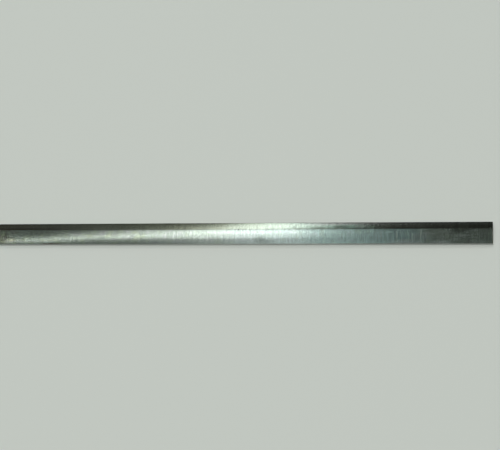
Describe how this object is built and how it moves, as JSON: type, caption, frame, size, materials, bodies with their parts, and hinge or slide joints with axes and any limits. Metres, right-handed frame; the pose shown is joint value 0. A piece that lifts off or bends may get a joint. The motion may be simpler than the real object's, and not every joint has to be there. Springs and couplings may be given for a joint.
{
  "type": "planer blade",
  "caption": "Long straight planer blade: a flat bar of ground tool steel, bevelled along its cutting edge, which shaves wood when it turns in a cutter block.",
  "frame": {"origin": "middle of the flat back, on which the blade lies", "axes": "+X along the blade, +Y from the spine to the cutting edge, +Z out of the upper face that the bevel is ground from"},
  "size_m": [0.61, 0.025, 0.003],
  "materials": {
    "ground_steel": "surface ground across its width, satin, with slight tarnish and marks of use"
  },
  "bodies": {
    "root": {"planer_blade": "ground_steel"}
  },
  "joints": []
}
